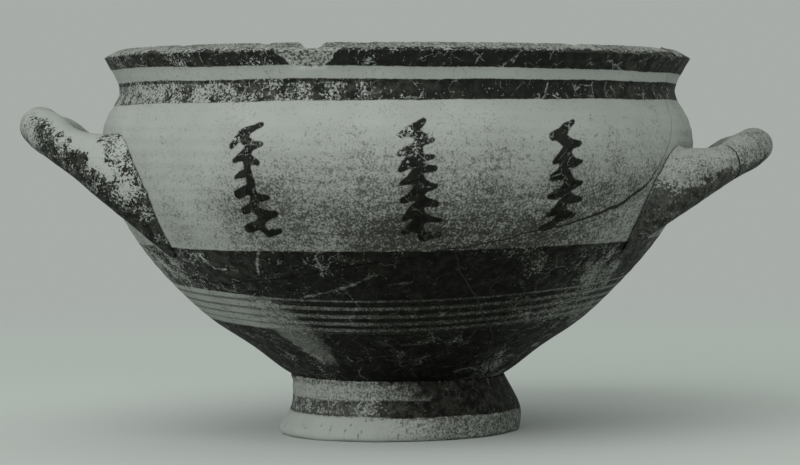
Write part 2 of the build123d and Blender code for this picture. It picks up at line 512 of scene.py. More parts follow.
    def veil(self) -> Wire:
        """Greys the paint at both ends, in the worn patch and on the shoulder.

        Returns:
            How grey it has become.
        """
        bearing = self.bearing
        ends = bearing.above(-0.35, -0.80) * 0.45 + bearing.above(0.45, 0.95) * 0.55
        return ends + self.patch * 0.5 + self.shoulder * bearing.above(0.4, -0.3) * 0.8

    def soil_and_shade(self) -> Wire:
        """Lays dirt on the clay, most of it low down and by the long break, with painted shade that
        darkens the lower wall and its right side.

        Returns:
            How dirty the clay is and how much painted shade darkens it, which is over 1 where dirt
            lies thickest.
        """
        z, bearing = self.z, self.bearing
        # Dirt and painted shade: darker lower down, and most away from the lit left.
        lower = z.above(82.0, 56.0) * (bearing.above(-0.80, -0.30) * 0.65 + 0.35)
        # Painted shade on the upper right of the wall.
        painted_shade_right = bearing.above(0.0, 0.9) * z.above(90.0, 84.0) * 0.08
        by_break = z.above(70.0, 62.0) * bearing.band(0.15, 0.75, 0.15) * 0.12
        under_break = z.above(66.0, 58.0) * bearing.above(0.62, 0.85) * 0.35
        soil_and_shade = self.clay.soil_and_shade + lower * 0.78 + painted_shade_right + by_break - under_break
        soil_and_shade = soil_and_shade + z.above(96.0, 98.0) * 0.6 + self.shoulder * 0.10
        soil_and_shade = (soil_and_shade + (self.cloud - 0.5) * 0.8).clamped()
        return soil_and_shade + z.above(62.0, 53.0) * bearing.band(-0.15, 0.60, 0.20) * 0.35

    def work(self) -> Paintwork:
        """Paints the part.

        Returns:
            Its paintwork.
        """
        graph, ragged, clay = self.graph, self.ragged, self.clay
        flake = (graph.attribute("flake_distance") + ragged * 2.0).above(0.30, -0.30)
        grazed = (graph.attribute("mark_distance") + ragged * 1.6).above(0.50, 0.05)
        bands = graph.largest(self.lip, self.shoulder, self.lower_paint(), self.wavy)
        gone = (1.0 - flake) * (1.0 - self.patch * 0.42) * (1.0 - grazed * 0.85)
        cover = graph.largest(bands * self.outside * gone, self.inner)
        wear = (clay.wear + self.wear()).clamped()
        scar = flake * self.outside
        return Paintwork(cover, wear, self.soil_and_shade(), clay.roots, self.veil().clamped(), scar)


@dataclass
class FootPaint:
    """One band round the foot, kept on the right and worn on the left, and painted shade on its
    right half. Pairs are heights in mm.
    """

    graph: Graph
    place: Wire
    clay: "PaintedClay"
    band: tuple = (6.3, 10.2)
    under_line: tuple = (6.0, 6.6)
    top_coat: tuple = (13.4, 14.6)
    toe: tuple = (6.2, 5.2)

    def work(self) -> Paintwork:
        """Paints the part.

        Returns:
            Its paintwork.
        """
        graph, clay = self.graph, self.clay
        x, y, z = graph.parts(self.place)
        ragged = graph.noise(self.place, 2.2, 3.0, 0.6) - 0.5
        level = z + (graph.noise(self.place, 18.0, 1.0) - 0.5) * 1.2 + ragged * 0.9
        kept = (x + ragged * 16.0).above(-6.0, 5.0)
        under_line = level.band(*self.under_line, 0.15)
        upper = level.above(9.0, 9.6) * (x + z * 1.3 + ragged * 18.0).above(15.0, 23.0)
        top = level.above(*self.top_coat)
        outside = (graph.math("SQRT", x * x + y * y) + z * 0.27).above(26.6, 27.4)
        bands = graph.largest(level.band(*self.band, 0.3), upper, top, under_line)
        cover = bands * outside * (kept * 0.14 + 0.86)
        wear = clay.wear + (1.0 - kept) * 0.31 - kept * 0.12 - under_line * 0.1 + top * 0.1
        drips = graph.noise(graph.joined(x, y, z * 0.10), 0.9, 1.0, 0.6).above(0.66, 0.72)
        toe = z.above(*self.toe)
        soil_and_shade = clay.soil_and_shade + (1.0 - outside) * 0.3 + z.above(4.0, 9.0) * 0.15
        # Painted shade: the right half of the foot is darkened through the dirt input.
        soil_and_shade = soil_and_shade + x.above(-22.0, 22.0) * 0.95 + toe * (drips * 0.7 - 0.24) + (1.0 - toe) * 0.15
        veil = kept * -0.25 + 0.7
        return Paintwork(cover, wear.clamped(), soil_and_shade.clamped(), kept * clay.roots, veil)


@dataclass
class HandlePaint:
    """Paint on the lower side of a loop and round its roots, worn off its upper side.

    Spots are millimetres out from the bowl's axis and up from the table.
    """

    graph: Graph
    place: Wire
    clay: "PaintedClay"

    def __post_init__(self) -> None:
        """Finds where each spot lies, and the noise that frays the paint."""
        self.x, _, self.z = self.graph.parts(self.place)
        self.ragged = self.graph.noise(self.place, 4.0, 4.0, 0.65) - 0.5

    def across(self, out: Wire, spot: tuple, facing: tuple) -> Wire:
        """How far places lie beyond a slanting plane through a spot, in the way that it faces."""
        return (out - spot[0]) * facing[0] + (self.z - spot[1]) * facing[1]

    def areas(self) -> tuple[Wire, Wire, Wire, Wire]:
        """Divides the loop.

        Returns:
            The paint below and by the wall, how much wear is added, and how much dirt and painted
            shade.
        """
        raise NotImplementedError

    def work(self) -> Paintwork:
        """Paints the part.

        Returns:
            Its paintwork.
        """
        clay = self.clay
        below, by_wall, wear, soil_and_shade = self.areas()
        cover = self.graph.largest(below, by_wall)
        wear = clay.wear + wear + self.ragged * 0.5 + (1.0 - cover) * 0.45
        coat = cover.above(0.0, 0.35) * clay.coat
        soil_and_shade = (clay.soil_and_shade + soil_and_shade).clamped()
        return Paintwork(coat, wear.clamped(), soil_and_shade, clay.roots, clay.veil)


@dataclass
class LeftHandlePaint(HandlePaint):
    """The left loop's paint, with painted shade on its lower side. The arm's upper side and the
    wall are given by a spot and a facing.
    """

    arm: tuple = ((68.5, 53.5), (-0.61, 0.79))
    wall: tuple = ((60.9, 48.8), (0.92, -0.40))

    def areas(self) -> tuple[Wire, Wire, Wire, Wire]:
        """Divides the loop.

        Returns:
            The paint below and by the wall, how much wear is added, and how much dirt and painted
            shade.
        """
        out, z = self.x * -1.0, self.z
        above = self.across(out, *self.arm)
        off_wall = self.across(out, *self.wall)
        below = (above + self.ragged * 8.0).above(12.2, 8.6)
        by_wall = (off_wall + (z - 72.0) * 0.25 + self.ragged * 9.0).above(1.6, -1.2)
        wear = above.above(0.8, 6.0) * 0.28 - above.above(1.6, -0.4) * 0.25
        wear = wear + by_wall * z.above(59.0, 68.0) * 0.21 + out.above(87.5, 91.5) * 0.28
        # Painted shade: darker on the loop's lower side.
        return below, by_wall, wear, above.above(14.0, 5.0) * 0.35


@dataclass
class RightHandlePaint(HandlePaint):
    """The right loop's paint, with painted shade under the loop and by the wall. The arm's upper
    side is given by a spot and a facing.
    """

    arm: tuple = ((71.0, 54.0), (-0.54, 0.84))

    def areas(self) -> tuple[Wire, Wire, Wire, Wire]:
        """Divides the loop.

        Returns:
            The paint below and by the wall, how much wear is added, and how much dirt and painted
            shade.
        """
        out, z = self.x, self.z
        above = self.across(out, *self.arm)
        below = (above + (out - 75.0) * 0.28 + self.ragged * 5.0).above(7.6, 4.6)
        by_wall = (z + self.ragged * 6.0 + (out - 66.0) * 0.45).above(69.0, 61.0)
        # Painted shade: darker under the loop and by the wall.
        soil_and_shade = above.above(13.0, 4.0) * 0.40 + out.above(84.0, 74.0) * 0.15
        return below, by_wall, above.above(-1.0, 5.0) * 0.10, soil_and_shade


PAINTERS = {
    Zone.BOWL: BowlPaint,
    Zone.FOOT: FootPaint,
    Zone.LEFT_HANDLE: LeftHandlePaint,
    Zone.RIGHT_HANDLE: RightHandlePaint,
}


@dataclass(frozen=True)
class PaintedClay:
    """Matt clay with dark slip painted on it, which has worn and flaked."""

    name: str
    zone: Zone
    wear: float = 0.35
    soil_and_shade: float = 0.30
    roots: float = 0.6
    coat: float = 1.0
    veil: float = 0.5
    clay_roughness: float = 0.92
    paint_roughness: float = 0.68
    specular: float = 0.07
    bump_strength: float = 0.55
    grain_depth: float = 0.10 * MM
    paint_color: tuple = (0.0028, 0.0028, 0.0016, 1.0)
    veil_color: tuple = (0.062, 0.064, 0.052, 1.0)
    scar_color: tuple = (0.350, 0.370, 0.340, 1.0)
    pit_color: tuple = (0.070, 0.072, 0.060, 1.0)

    def material(self, groups: dict[str, bpy.types.NodeTree]) -> bpy.types.Material:
        """Builds the finish.

        Args:
            groups: the shared node groups by name.

        Returns:
            The material.
        """
        graph = Finish(self.name)
        place = graph.place()
        work = PAINTERS[self.zone](graph, place, self).work()
        coat = {"Place": place, "Cover": work.cover, "Wear": work.wear, "Roots": work.roots}
        paint = graph.wire("ShaderNodeGroup", coat, "Paint", node_tree=groups["wear"])
        body = {"Place": place, "Soil and shade": work.soil_and_shade}
        clay = graph.node("ShaderNodeGroup", body, node_tree=groups["clay"])
        clay_color, relief = (Wire(graph, clay.outputs[name]) for name in ("Color", "Height"))
        mottle = graph.noise(place, 2.4, 4.0, 0.7).above(0.40, 0.68)
        tint = graph.mix(mottle * (work.veil * 0.85 + 0.15), self.paint_color, self.veil_color)
        grit = graph.noise(place, 0.8, 2.0, 0.7).above(0.40, 0.56)
        broken = graph.mix(grit, self.pit_color, self.scar_color)
        worn = graph.mix(paint * 0.97, clay_color, tint)
        rough = self.clay_roughness - paint * (self.clay_roughness - self.paint_roughness)
        normal = graph.bump(relief + paint * 0.35, self.bump_strength, self.grain_depth)
        return graph.dressed(
            {
                "Base Color": graph.mix(work.scar, worn, broken),
                "Roughness": rough,
                "Specular IOR Level": self.specular,
                "Normal": normal,
            }
        )


@dataclass(frozen=True)
class GlueFinish:
    """Old dark glue, set back in a break."""

    name: str = "old glue"
    color: tuple = (0.005, 0.005, 0.004, 1.0)
    pale_color: tuple = (0.016, 0.016, 0.013, 1.0)
    roughness: tuple = (0.75, 0.95)
    bump_strength: float = 0.5
    lump_depth: float = 0.1 * MM

    def material(self) -> bpy.types.Material:
        """Builds the finish.

        Returns:
            The material.
        """
        graph = Finish(self.name)
        lumps = graph.noise(graph.place(), 1.2, 3.0, 0.6)
        smooth, rough = self.roughness
        return graph.dressed(
            {
                "Base Color": graph.mix(lumps, self.color, self.pale_color),
                "Roughness": smooth + lumps * (rough - smooth),
                "Normal": graph.bump(lumps, self.bump_strength, self.lump_depth),
            }
        )


# Shapes


def smooth_line(
    points: list, start: tuple, end: tuple, count: int, per_run: int = 120
) -> np.ndarray:
    """Points at even distances along a smooth line.

    Args:
        points: what the line goes through.
        start: its direction at the first point.
        end: its direction at the last point.
        count: how many points come back.
        per_run: how finely each run between two points is worked out.

    Returns:
        An array with a row for each point.
    """
    at = np.array(points, float)
    steps = np.linalg.norm(np.diff(at, axis=0), axis=1)
    system, known = np.eye(len(at)), np.zeros_like(at)
    known[0], known[-1] = start, end
    for i in range(1, len(at) - 1):
        before, after = steps[i - 1], steps[i]
        system[i, i - 1 : i + 2] = 1 / before, 2 / before + 2 / after, 1 / after
        known[i] = 3 * ((at[i] - at[i - 1]) / before**2 + (at[i + 1] - at[i]) / after**2)
    slopes = np.linalg.solve(system, known)
    t = np.linspace(0, 1, per_run, endpoint=False)[:, None]
    dense = [
        (2 * t**3 - 3 * t**2 + 1) * at[i]
        + (t**3 - 2 * t**2 + t) * step * slopes[i]
        + (3 * t**2 - 2 * t**3) * at[i + 1]
        + (t**3 - t**2) * step * slopes[i + 1]
        for i, step in enumerate(steps)
    ]
    line = np.vstack([*dense, at[-1:]])
    length = np.concatenate([[0], np.cumsum(np.linalg.norm(np.diff(line, axis=0), axis=1))])
    even = np.linspace(0, length[-1], count)
    return np.column_stack([np.interp(even, length, line[:, k]) for k in range(at.shape[1])])


def add_object(name: str, data: bpy.types.ID) -> bpy.types.Object:
    """Puts a mesh, a lamp or a camera into the scene.

    Args:
        name: the object's name, which its data takes too.
        data: what the object shows.

    Returns:
        The object.
    """
    data.name = name
    made = bpy.data.objects.new(name, data)
    bpy.context.scene.collection.objects.link(made)
    return made


def looking(place: tuple, target: tuple) -> Matrix:
    """The stand of a lamp or camera that is at a place and looks at a target."""
    turn = (Vector(target) - Vector(place)).to_track_quat("-Z", "Y").to_matrix().to_4x4()
    return Matrix.Translation(place) @ turn


def mesh_of(bm: bmesh.types.BMesh, name: str) -> bpy.types.Mesh:
    """Turns a bmesh into a mesh.

    Args:
        bm: the bmesh, which is gone afterwards.
        name: the mesh's name.

    Returns:
        The mesh.
    """
    mesh = bpy.data.meshes.new(name)
    bm.to_mesh(mesh)
    bm.free()
    return mesh


def settled(shape: bpy.types.Object) -> bpy.types.Mesh:
    """Applies an object's modifiers.

    Args:
        shape: the object, which is gone afterwards.

    Returns:
        The mesh that they make.
    """
    shape_now = shape.evaluated_get(bpy.context.evaluated_depsgraph_get())
    mesh = bpy.data.meshes.new_from_object(shape_now)
    bpy.data.objects.remove(shape)
    return mesh


def combined(mesh: bpy.types.Mesh, tool: bpy.types.Object, operation: str) -> bpy.types.Mesh:
    """A closed mesh cut by, or kept inside, a closed tool.

    Args:
        mesh: the mesh to cut.
        tool: the object that cuts it.
        operation: DIFFERENCE or INTERSECT.

    Returns:
        The new mesh.
    """
    shape = add_object("cutting", mesh)
    cut = shape.modifiers.new("cut", "BOOLEAN")
    cut.operation, cut.solver, cut.object = operation, "MANIFOLD", tool
    return settled(shape)


def islands(mesh: bpy.types.Mesh, least: int) -> list[bpy.types.Mesh]:
    """The loose parts of a mesh.

    Args:
        mesh: the mesh.
        least: parts with fewer faces than this are crumbs and are dropped.

    Returns:
        A mesh for each part.
    """
    bm = bmesh.new()
    bm.from_mesh(mesh)
    bm.verts.ensure_lookup_table()
    label = np.full(len(bm.verts), -1)
    count = 0
    for seed in bm.verts:
        if label[seed.index] >= 0:
            continue
        label[seed.index], stack = count, [seed]
        while stack:
            for edge in stack.pop().link_edges:
                for vert in edge.verts:
                    if label[vert.index] < 0:
                        label[vert.index] = count
                        stack.append(vert)
        count += 1
    found = []
    for part in range(count):
        copy = bm.copy()
        copy.verts.ensure_lookup_table()
        gone = [copy.verts[i] for i in np.flatnonzero(label != part)]
        bmesh.ops.delete(copy, geom=gone, context="VERTS")
        if len(copy.faces) >= least:
            out = bpy.data.meshes.new("part")
            copy.to_mesh(out)
            found.append(out)
        copy.free()
    bm.free()
    return found


def coordinates(mesh: bpy.types.Mesh) -> np.ndarray:
    """Reads where a mesh's vertices are.

    Args:
        mesh: the mesh.

    Returns:
        An array with a row for each vertex.
    """
    flat = np.empty(len(mesh.vertices) * 3, np.float32)
    mesh.vertices.foreach_get("co", flat)
    return flat.reshape(-1, 3).astype(float)


def move_vertices(mesh: bpy.types.Mesh, places: np.ndarray) -> None:
    """Puts a mesh's vertices at the places."""
    mesh.vertices.foreach_set("co", places.astype(np.float32).ravel())
    mesh.update()


def keep_distance(mesh: bpy.types.Mesh, name: str, values: np.ndarray) -> None:
    """Keeps a number for each vertex on the mesh, for the materials to read."""
    attribute = mesh.attributes.new(name, "FLOAT", "POINT")
    attribute.data.foreach_set("value", values.astype(np.float32))


def smooth_step(values: np.ndarray, low: float, high: float) -> np.ndarray:
    """0 below low, 1 above high and smooth between."""
    share = np.clip((values - low) / (high - low), 0, 1)
    return share * share * (3 - 2 * share)


def run_gap(spots: np.ndarray, start: tuple, end: tuple) -> tuple[np.ndarray, np.ndarray]:
    """Measures spots against a straight run.

    Args:
        spots: an array with a row for each spot.
        start: where the run starts.
        end: where it ends.

    Returns:
        How far each spot lies from the run, and its nearest point's share of the way along it.
    """
    along = np.subtract(end, start)
    share = np.clip((spots - start) @ along / (along @ along), 0, 1)
    return np.linalg.norm(spots - start - share[:, None] * along, axis=1), share


def finish_piece(
    name: str,
    mesh: bpy.types.Mesh,
    material: bpy.types.Material,
    slot: Slot,
    *nodes: str,
    crease: float = 38.0,
) -> bpy.types.Object:
    """Makes a mesh a piece of the cup that stands for its CAD nodes.

    Args:
        name: the piece's name.
        mesh: its final mesh, in place.
        material: its finish.
        slot: not used.
        nodes: the CAD nodes that it replaces.
        crease: edges sharper than this angle, in degrees, stay sharp.

    Returns:
        The piece.
    """
    mesh.materials.clear()
    mesh.materials.append(material)
    mesh.polygons.foreach_set("use_smooth", np.ones(len(mesh.polygons), bool))
    mesh.set_sharp_from_angle(angle=math.radians(crease))
    piece = add_object(name, mesh)
    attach(piece, ROOT)
    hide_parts(*nodes)
    log.info("%s: %d faces", name, len(mesh.polygons))
    return piece


# The bowl


@dataclass(frozen=True)
class BowlForm:
    """The thrown bowl's sizes, which are the CAD's. The outline is radius and height in mm."""

    rim_height: float = 98.1 * MM
    seat_height: float = 14.8 * MM
    wall: float = 4.5 * MM
    floor: float = 6.0 * MM
    lip: float = 5.0 * MM
    lean: float = math.radians(1.0)
    hub_height: float = 0.66 * rim_height
    outline: tuple = (
        (0.0, 12.4),
        (27.2, 14.8),
        (37.04, 21.82),
        (46.88, 28.27),
        (56.72, 36.87),
        (64.59, 45.65),
        (70.99, 55.27),
        (76.4, 71.4),
        (74.6, 82.2),
        (71.9, 87.5),
        (75.7, 96.5),
    )
    lip_flare: float = math.radians(24.0)
    slices: int = 24
    skin_count: int = 600

    def outside(self, count: int) -> np.ndarray:
        """Draws the outside contour from the middle of the floor to the lip.

        Args:
            count: how many points come back.

        Returns:
            Radius and height of each point.
        """
        points = [(radius * MM, height * MM) for radius, height in self.outline]
        lip = (math.sin(self.lip_flare), math.cos(self.lip_flare))
        return smooth_line(points, (1, 0), lip, count)

    def section(
        self, recess: float, outer_count: int, inner_count: int, lip_count: int = 12
    ) -> np.ndarray:
        """The wall's section, from under the floor, over the lip and down the inside.

        Args:
            recess: how far every face is moved inwards.
            outer_count: points up the outside.
            inner_count: points down the inside.
            lip_count: points over the lip.

        Returns:
            Radius and height of each point.
        """
        first = self.offset(outer_count, lambda share: np.full_like(share, recess))
        last = self.offset(inner_count, lambda share: self.thickness(share) - recess)
        middle = (first[-1] + last[-1]) / 2
        turn = np.linspace(0, math.pi, lip_count + 2)[1:-1, None]
        crown = np.array([0, self.rim_height - recess - middle[1]])
        lip = middle + (first[-1] - middle) * np.cos(turn) + crown * np.sin(turn)
        whole = np.vstack([first, lip, last[::-1]])
        whole[:, 0] = np.maximum(whole[:, 0], 0)
        whole[0, 0] = whole[-1, 0] = 0
        return whole

    def offset(self, count: int, depth: Callable[[np.ndarray], np.ndarray]) -> np.ndarray:
        """The outside contour moved inwards.

        Args:
            count: how many points come back.
            depth: the distance inwards at each share of the way up.

        Returns:
            Radius and height of each point.
        """
        skin = self.outside(count)
        along = np.gradient(skin, axis=0)
        along /= np.linalg.norm(along, axis=1)[:, None]
        inwards = np.column_stack([-along[:, 1], along[:, 0]])
        return skin + inwards * depth(np.linspace(0, 1, count))[:, None]

    def thickness(self, share: np.ndarray) -> np.ndarray:
        """The wall's thickness at a share of the way up."""
        foot = (self.floor - self.wall) * (1 - share) ** 4
        return self.wall + foot + (self.lip - self.wall) * share

    def spun(self, section: np.ndarray, steps: int) -> bpy.types.Mesh:
        """A section spun round the bowl's axis.

        Args:
            section: radius and height of each point.
            steps: how many steps the spin takes all the way round.

        Returns:
            A closed mesh.
        """
        bm = bmesh.new()
        verts = [bm.verts.new((radius, 0, height)) for radius, height in section]
        edges = [bm.edges.new(pair) for pair in zip(verts, verts[1:])]
        axis = {"axis": (0, 0, 1), "cent": (0, 0, 0)}
        slice_angle = 2 * math.pi / self.slices
        steps //= self.slices
        bmesh.ops.spin(bm, geom=verts + edges, steps=steps, angle=slice_angle, **axis)
        whole = bm.verts[:] + bm.edges[:] + bm.faces[:]
        turns = {"steps": self.slices - 1, "angle": slice_angle * (self.slices - 1)}
        bmesh.ops.spin(bm, geom=whole, use_duplicate=True, **turns, **axis)
        bmesh.ops.remove_doubles(bm, verts=bm.verts, dist=WELD)
        bmesh.ops.recalc_face_normals(bm, faces=bm.faces)
        return mesh_of(bm, "spun")

    def leaned(self) -> Matrix:
        """The bowl's lean about its seat."""
        seat = Matrix.Translation((0, 0, self.seat_height))
        return seat @ Matrix.Rotation(self.lean, 4, "Y") @ seat.inverted()

    def places(self, mesh: bpy.types.Mesh) -> tuple[np.ndarray, np.ndarray, np.ndarray]:
        """Bearing from the front, radius and height of a mesh's vertices."""
        at = coordinates(mesh)
        return np.arctan2(at[:, 0], -at[:, 1]), np.hypot(at[:, 0], at[:, 1]), at[:, 2]

    def depth(self, radius: np.ndarray, height: np.ndarray) -> np.ndarray:
        """How deep places lie below the outside of the wall.

        Args:
            radius: how far they are from the bowl's axis.
            height: how high they are.

        Returns:
            The depths, in mm.
        """
        skin = self.outside(self.skin_count)
        along = np.gradient(skin, axis=0)
        facing = along[:, 1] / np.linalg.norm(along, axis=1)
        gap = np.interp(height, skin[:, 1], skin[:, 0]) - radius
        return gap * np.interp(height, skin[:, 1], facing) / MM


BOWL = BowlForm()


@dataclass(frozen=True)
class Break:
    """A break through the wall: bearing in degrees, share of the way up, width of glue in mm."""

    name: str
    rows: tuple
    seed: float
    step: float = 0.8 * MM
    jag: float = 0.30 * MM
    jag_length: float = 5 * MM
    glue_spread: float = 1.05
    over_rim: float = 14.0 * MM
    inner_share: float = 0.72
    outer_share: float = 1.16
    skin_count: int = 2001

    def line(self) -> tuple[np.ndarray, np.ndarray]:
        """Draws the break on the outside of the wall.

        Returns:
            Points along it, and the width of its glue at each.
        """
        bearing, share, widths = np.array(self.rows).T
        bearing = np.radians(bearing)
        widths = widths * self.glue_spread * MM
        skin = BOWL.outside(self.skin_count)
        shares = np.linspace(0, 1, self.skin_count)
        radius, height = (np.interp(share, shares, skin[:, k]) for k in (0, 1))
        points = np.column_stack([radius * np.sin(bearing), -radius * np.cos(bearing), height])
        over = (0, 0, self.over_rim)
        points = np.vstack([points[0] + over, points, points[-1] + over])
        widths = np.concatenate([widths[:1], widths, widths[-1:]])
        runs = np.linalg.norm(np.diff(points, axis=0), axis=1)
        length = np.concatenate([[0], np.cumsum(runs)])
        even = np.linspace(0, length[-1], int(length[-1] / self.step))
        line = np.column_stack([np.interp(even, length, points[:, k]) for k in range(3)])
        return line, np.interp(even, length, widths)

    def blade(self) -> bpy.types.Object:
        """Makes a closed sheet as thick as the glue, which cuts the wall along the jagged break.

        Returns:
            The sheet, which is no piece of the cup.
        """
        line, widths = self.line()
        hub = np.array([0, 0, BOWL.hub_height])
        rays = line - hub
        across = np.cross(rays, np.gradient(line, axis=0))
        across /= np.linalg.norm(across, axis=1)[:, None]
        count = len(line) - 1
        bm = bmesh.new()
        bmesh.ops.create_grid(bm, x_segments=count, y_segments=1, size=0.5)
        sheet = bm.faces[:] + bm.edges[:]
        grown = bmesh.ops.extrude_face_region(bm, geom=sheet, use_keep_orig=True)
        for item in grown["geom"]:
            if isinstance(item, bmesh.types.BMVert):
                item.co.z = 1
        for vert in bm.verts:
            i = round((vert.co.x + 0.5) * count)
            spot = Vector(line[i]) / self.jag_length + Vector((self.seed, 0, 0))
            shift = (noise.noise(spot) * 2 + noise.noise(spot * 4)) * self.jag
            side = widths[i] / 2 if vert.co.z > 0.5 else -widths[i] / 2
            share = self.outer_share if vert.co.y > 0 else self.inner_share
            vert.co = Vector(hub + rays[i] * share + across[i] * (shift + side))
        bmesh.ops.recalc_face_normals(bm, faces=bm.faces)
        return add_object(self.name, mesh_of(bm, self.name))


UPPER_BREAK = Break(
    "upper_break_cut",
    (
        (67.0, 1.000, 0.35), (69.0, 0.938, 0.35), (67.0, 0.903, 0.35), (63.5, 0.850, 0.35),
        (59.0, 0.791, 0.40), (53.0, 0.731, 0.90), (46.5, 0.700, 1.00), (39.0, 0.676, 0.60),
        (27.0, 0.649, 0.40), (10.0, 0.614, 0.35), (-9.5, 0.578, 0.35), (-31.5, 0.539, 0.35),
        (-45.0, 0.523, 0.35), (-57.0, 0.537, 0.35), (-68.0, 0.595, 0.35), (-95.0, 0.630, 0.35),
        (-130.0, 0.590, 0.35), (-165.0, 0.560, 0.35), (-200.0, 0.600, 0.35), (-225.0, 0.680, 0.35),
        (-242.0, 0.800, 0.35), (-248.0, 1.000, 0.35),
    ),
    seed=3.1,
)
LOWER_BREAK = Break(
    "lower_break_cut",
    (
        (11.0, 0.622, 0.40), (14.0, 0.560, 0.40), (19.0, 0.497, 0.40), (24.5, 0.435, 0.40),
        (31.5, 0.377, 0.40), (40.0, 0.310, 0.40), (60.0, 0.180, 0.40), (110.0, 0.120, 0.40),
        (145.0, 0.220, 0.40), (160.0, 0.400, 0.40), (172.0, 0.610, 0.40),
    ),
    seed=9.7,
)


@dataclass(frozen=True)
class WavyLines:
    """The wavy lines, stroke by stroke: arc from the front, height and half width, in mm."""

    strokes: tuple = (
        ((-33.2, 79.1, 0.4), (-38.3, 76.9, 0.9), (-41.1, 74.0, 0.4)),
        ((-38.5, 76.4, 0.9), (-35.8, 74.2, 1.0), (-33.1, 74.4, 0.4)),
        ((-35.8, 74.1, 0.9), (-37.3, 72.0, 1.0), (-40.6, 70.5, 0.4)),
        ((-37.3, 71.6, 1.0), (-34.3, 70.1, 0.5)),
        ((-37.0, 71.2, 0.8), (-37.0, 68.0, 0.8), (-40.6, 66.6, 0.4)),
        ((-36.9, 68.2, 0.8), (-36.4, 64.2, 0.9), (-40.7, 62.7, 0.9)),
        ((-36.7, 64.4, 0.9), (-35.9, 61.7, 1.1), (-32.7, 61.9, 0.5)),
        ((-35.9, 61.4, 1.1), (-37.3, 59.4, 1.0), (-40.2, 58.6, 0.7)),
        ((-37.4, 59.3, 1.0), (-34.3, 57.6, 1.0), (-31.1, 57.9, 0.5)),
        ((-34.6, 57.4, 1.0), (-37.1, 55.2, 0.9), (-40.3, 54.4, 0.9)),
        ((-36.8, 55.2, 0.8), (-34.6, 53.2, 0.7), (-30.8, 54.0, 0.3)),
        ((6.1, 80.0, 0.4), (3.2, 77.6, 1.1), (0.3, 76.5, 0.4)),
        ((3.7, 77.2, 1.1), (6.8, 76.4, 0.3)),
        ((4.3, 76.7, 0.7), (5.4, 74.8, 0.6), (8.0, 75.5, 0.4)),
        ((5.0, 74.7, 0.7), (4.1, 73.7, 1.1), (0.4, 72.3, 0.4)),
        ((4.5, 73.4, 1.1), (4.8, 71.1, 0.9), (8.2, 71.6, 0.4)),
        ((4.5, 71.1, 0.9), (2.3, 70.0, 1.2), (0.7, 68.5, 0.5)),
        ((4.3, 70.2, 1.0), (5.0, 68.8, 1.1), (8.4, 68.8, 0.6)),
        ((4.6, 68.2, 1.2), (3.0, 66.2, 0.9), (0.8, 65.3, 0.4)),
        ((4.6, 67.1, 1.2), (5.4, 64.6, 1.6), (9.1, 64.6, 0.4)),
        ((4.9, 63.7, 1.4), (3.5, 62.2, 1.0), (1.3, 61.3, 0.5)),
        ((4.9, 62.6, 1.1), (5.7, 61.0, 1.2), (9.4, 60.5, 0.5)),
        ((5.2, 60.4, 1.1), (3.4, 58.3, 1.1), (1.5, 57.0, 0.4)),
        ((5.0, 59.5, 1.0), (6.0, 57.2, 1.1), (10.6, 56.6, 0.3)),
        ((5.6, 56.7, 1.3), (3.5, 54.7, 1.0), (1.4, 53.8, 0.3)),
        ((5.1, 56.0, 1.1), (6.3, 52.5, 0.9), (10.7, 53.3, 0.5)),
        ((44.6, 79.9, 0.3), (42.0, 78.5, 0.8), (40.3, 76.8, 1.2), (38.0, 76.4, 0.8)),
        ((40.2, 76.2, 1.2), (42.7, 74.5, 1.3), (45.6, 74.7, 0.5)),
        ((42.7, 74.0, 1.1), (40.5, 71.3, 1.1), (38.7, 70.2, 0.4)),
        ((42.0, 71.5, 1.3), (43.7, 70.1, 1.1), (46.6, 70.3, 0.3)),
        ((42.1, 70.2, 1.1), (40.7, 67.5, 1.3), (38.6, 66.6, 0.7)),
        ((42.2, 67.7, 1.1), (44.3, 64.9, 1.1), (47.5, 65.3, 0.3)),
        ((43.6, 64.3, 1.1), (41.1, 62.8, 1.1), (38.6, 62.0, 0.5)),
        ((42.9, 62.8, 1.2), (45.0, 61.3, 1.0), (48.2, 61.4, 0.4)),
        ((43.4, 61.3, 1.1), (41.5, 58.6, 1.0), (39.4, 57.7, 0.5)),
        ((43.4, 59.4, 0.9), (44.8, 57.2, 0.9), (47.5, 57.6, 0.5)),
        ((44.1, 57.6, 0.9), (41.4, 55.3, 0.9), (38.7, 54.4, 0.4)),
    )
    belly_arc: float = 76.0
    lowest: float = 48.0
    highest: float = 84.0
    far: float = 4.0

    def distance(self, bearing: np.ndarray, height: np.ndarray) -> np.ndarray:
        """How far outside the strokes each place is, in mm, and below 0 inside them.

        Args:
            bearing: angle from the front, in radians.
            height: height up the bowl, in metres.

        Returns:
            The distances, at most far.
        """
        behind = np.abs(bearing) > math.pi / 2
        facing = np.where(behind, np.sign(bearing) * math.pi - bearing, bearing)
        at = np.column_stack([facing * self.belly_arc, height / MM])
        nearest = np.full(len(at), self.far)
        close = (at[:, 1] > self.lowest) & (at[:, 1] < self.highest)
        spots, found = at[close], nearest[close]
        for stroke in self.strokes:
            for start, end in zip(stroke, stroke[1:]):
                gap, share = run_gap(spots, start[:2], end[:2])
                found = np.minimum(found, gap - (start[2] + (end[2] - start[2]) * share))
        nearest[close] = found
        return nearest


